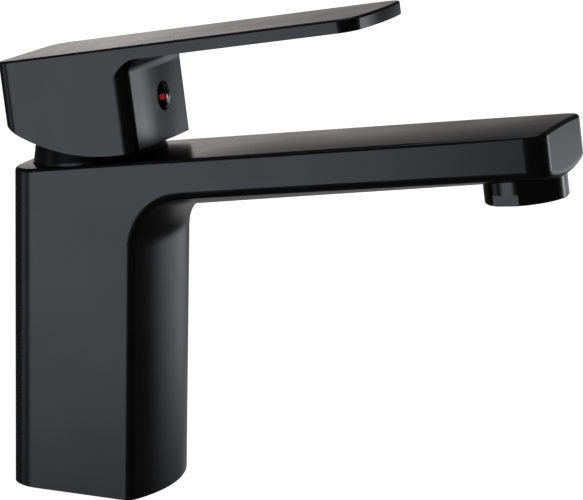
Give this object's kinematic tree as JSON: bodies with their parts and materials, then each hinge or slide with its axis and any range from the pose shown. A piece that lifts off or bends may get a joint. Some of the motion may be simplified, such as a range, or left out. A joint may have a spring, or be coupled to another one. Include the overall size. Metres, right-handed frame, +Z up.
{
  "type": "single-lever basin mixer faucet",
  "caption": "Single-lever basin mixer: upright block body, flat rising cantilever spout with aerator, and a flat plate lever on a round cap over a ceramic-disc cartridge.",
  "frame": {"origin": "centre of the body's base on the deck plane", "axes": "+X from the body towards the spout's tip, +Z up, +Y to the far side seen with the spout to the right"},
  "size_m": [0.1832, 0.0456, 0.1613],
  "materials": {
    "body_paint": "satin",
    "cap_paint": "satin",
    "lever_paint": "satin",
    "aerator_black": "gloss",
    "seal_rubber": "matte",
    "nut_brass": "machined",
    "steel": "brushed",
    "cartridge_plastic": "matte",
    "base_plastic": "matte",
    "limiter_plastic": "matte",
    "ceramic": "polished",
    "plug_plastic": "gloss",
    "mark_red": "gloss",
    "mark_blue": "gloss",
    "insert_plastic": "matte"
  },
  "bodies": {
    "casting": {"mixer_body": "body_paint", "base_gasket": "seal_rubber", "trim_cap": "cap_paint", "cartridge_nut": "nut_brass", "cartridge_housing": "cartridge_plastic", "housing_seal": "seal_rubber", "cartridge_base": "base_plastic", "port_seal_hot": "seal_rubber", "port_seal_cold": "seal_rubber", "fixed_ceramic_disc": "ceramic", "temperature_limiter": "limiter_plastic", "aerator_housing": "aerator_black", "aerator_insert": "insert_plastic", "aerator_screen": "steel", "aerator_gasket": "seal_rubber"},
    "carrier": {"cartridge_carrier": "cartridge_plastic", "pivot_pin": "steel"},
    "lever": {"stem": "nut_brass", "lever_handle": "lever_paint", "grub_screw": "steel", "index_plug": "plug_plastic", "index_mark_hot": "mark_red", "index_mark_cold": "mark_blue"},
    "disc": {"disc_driver": "base_plastic", "moving_ceramic_disc": "ceramic"}
  },
  "joints": [
    {"name": "temperature_swivel", "type": "hinge", "parent": "casting", "child": "carrier", "pos_m": [-0.0015, 0, 0.10757], "axis": [-0.1495, 0, 0.9888], "range_deg": [-45, 45]},
    {"name": "flow_lift", "type": "hinge", "parent": "carrier", "child": "lever", "pos_m": [-0.00195, 0, 0.11054], "axis": [0, -1, 0], "range_deg": [0, 25]},
    {"name": "disc_slide", "type": "slide", "parent": "carrier", "child": "disc", "axis": [0.9888, 0, 0.1495], "range_m": [0, 0.0029]}
  ],
  "couplings": [
    {"joint": "disc_slide", "follows": "flow_lift", "m_per_rad": 0.0065}
  ]
}
